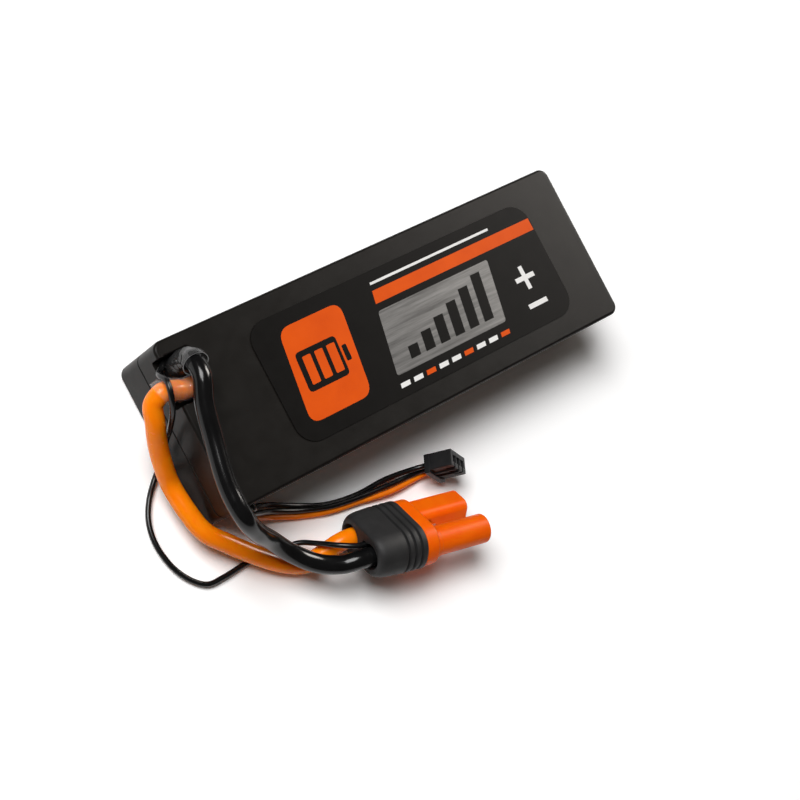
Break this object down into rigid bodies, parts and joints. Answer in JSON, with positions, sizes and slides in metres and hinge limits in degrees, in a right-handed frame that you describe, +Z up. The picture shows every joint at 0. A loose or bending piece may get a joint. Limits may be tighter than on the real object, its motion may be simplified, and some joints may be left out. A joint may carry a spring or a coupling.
{
  "type": "lithium polymer battery pack",
  "caption": "Flat hard-case rechargeable battery pack with a printed label, orange and black silicone power leads to a keyed connector, a data wire and a small balance plug.",
  "frame": {"origin": "middle of the case's bottom face, without the leads", "axes": "+X along the case away from the leads, +Y across it towards the lead pocket's side, +Z up through the label"},
  "size_m": [0.1519, 0.0862, 0.036],
  "materials": {
    "shell_black": "satin moulded black",
    "label_print": "printed film, black ground with orange and silver areas",
    "pouch_silver": "laminated pouch foil",
    "foam_grey": "soft closed-cell foam",
    "tab_nickel": "nickel strip",
    "board_green": "solder mask",
    "chip_black": "moulded",
    "sheet_amber": "insulating film",
    "silicone_black": "silicone insulation, soft sheen",
    "silicone_orange": "silicone insulation, soft sheen",
    "sleeve_clear": "clear shrunk tube",
    "boot_grey": "matt dark grey",
    "housing_orange": "satin moulded orange",
    "socket_gold": "gold-plated",
    "plug_black": "moulded black",
    "contact_tin": "tin-plated"
  },
  "bodies": {
    "root": {"upper_shell": "shell_black", "lower_tray": "shell_black", "top_label": "label_print", "lower_cell": "pouch_silver", "upper_cell": "pouch_silver", "bottom_pad": "foam_grey", "cell_spacer": "foam_grey", "top_pad": "foam_grey", "end_pad": "foam_grey", "negative_tab": "tab_nickel", "positive_tab": "tab_nickel", "lower_series_tab": "tab_nickel", "upper_series_tab": "tab_nickel", "series_link": "tab_nickel", "circuit_board": "board_green", "controller_chip": "chip_black", "insulating_sheet": "sheet_amber", "temperature_sensor": "chip_black", "connector_housing": "housing_orange", "positive_socket": "socket_gold", "negative_socket": "socket_gold", "data_contact": "contact_tin", "connector_boot": "boot_grey", "balance_plug": "plug_black", "negative_contact": "contact_tin", "middle_contact": "contact_tin", "positive_contact": "contact_tin", "negative_lead": "silicone_black", "positive_lead": "silicone_orange", "data_wire": "silicone_black", "negative_sleeve": "sleeve_clear", "positive_sleeve": "sleeve_clear", "balance_wire_negative": "silicone_black", "balance_wire_middle": "silicone_black", "balance_wire_positive": "silicone_orange"}
  },
  "joints": []
}
